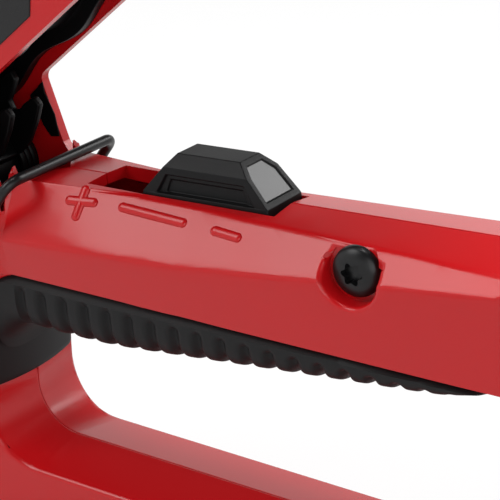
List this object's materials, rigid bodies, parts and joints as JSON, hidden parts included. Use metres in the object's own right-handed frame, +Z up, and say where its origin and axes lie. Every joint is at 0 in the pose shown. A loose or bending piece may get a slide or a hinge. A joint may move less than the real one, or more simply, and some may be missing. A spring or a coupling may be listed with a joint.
{
  "type": "staple gun",
  "caption": "Hand staple gun with a sprung squeeze lever, a finger opening with a ribbed rubber grip, a power slider on its deck and a rear-loading magazine.",
  "frame": {"origin": "staple exit on the work face, on the middle plane", "axes": "+X runs back to the heel, -Y is the tool's left side, +Z is up, away from the work"},
  "size_m": [0.1776, 0.0346, 0.1751],
  "materials": {
    "red_shell": "gloss",
    "red_lever": "gloss",
    "grip_rubber": "matte",
    "lever_pad": "matte",
    "black_plastic": "satin",
    "black_steel": "satin",
    "bright_steel": "brushed",
    "spring_steel": "satin",
    "staple_wire": "bright"
  },
  "bodies": {
    "casing": {"left_shell": "red_shell", "right_shell": "red_shell", "rubber_grip": "grip_rubber", "casing_screws": "black_steel", "pivot_pin": "bright_steel", "return_spring": "spring_steel", "main_leaf_spring": "spring_steel", "second_leaf_spring": "spring_steel", "third_leaf_spring": "spring_steel", "leaf_seat": "bright_steel", "bumper": "black_plastic", "nose_plate": "bright_steel", "magazine_channel": "bright_steel", "staple_strip": "staple_wire"},
    "lever": {"lever": "red_lever", "lever_grip": "lever_pad", "lever_liner": "black_plastic", "lock_hook": "black_steel", "lifter": "bright_steel"},
    "driver": {"driver": "bright_steel"},
    "power_slider": {"power_slider": "black_plastic", "fulcrum_shoe": "bright_steel"},
    "lock_bail": {"lock_bail": "black_steel"},
    "staple_rail": {"staple_rail": "bright_steel", "pusher_rod": "bright_steel", "pusher_spring": "spring_steel", "rail_end_cap": "black_plastic"},
    "pusher": {"pusher": "bright_steel"}
  },
  "joints": [
    {"name": "lever_hinge", "type": "hinge", "parent": "casing", "child": "lever", "pos_m": [0.021, 0, 0.076], "axis": [0, 1, 0], "range_deg": [0, 37.84], "stiffness_Nm_per_rad": 0.6, "springref_deg": -28.65, "deforming": ["main_leaf_spring", "second_leaf_spring", "third_leaf_spring", "return_spring"]},
    {"name": "driver_lift", "type": "slide", "parent": "casing", "child": "driver", "axis": [0, 0, 1], "range_m": [0, 0.01362]},
    {"name": "power_slide", "type": "slide", "parent": "casing", "child": "power_slider", "axis": [-0.9983, 0, -0.0586], "range_m": [0, 0.0122]},
    {"name": "bail_hinge", "type": "hinge", "parent": "casing", "child": "lock_bail", "pos_m": [0.03, 0, 0.066], "axis": [0, -1, 0], "range_deg": [0, 9]},
    {"name": "rail_slide", "type": "slide", "parent": "casing", "child": "staple_rail", "axis": [1, 0, 0], "range_m": [0, 0.1]},
    {"name": "pusher_slide", "type": "slide", "parent": "staple_rail", "child": "pusher", "axis": [1, 0, 0], "range_m": [0, 0.06], "stiffness_N_per_m": 60, "springref_m": -0.05, "deforming": ["pusher_spring"]}
  ],
  "couplings": [
    {"joint": "driver_lift", "follows": "lever_hinge", "m_per_rad": 0.02062}
  ]
}
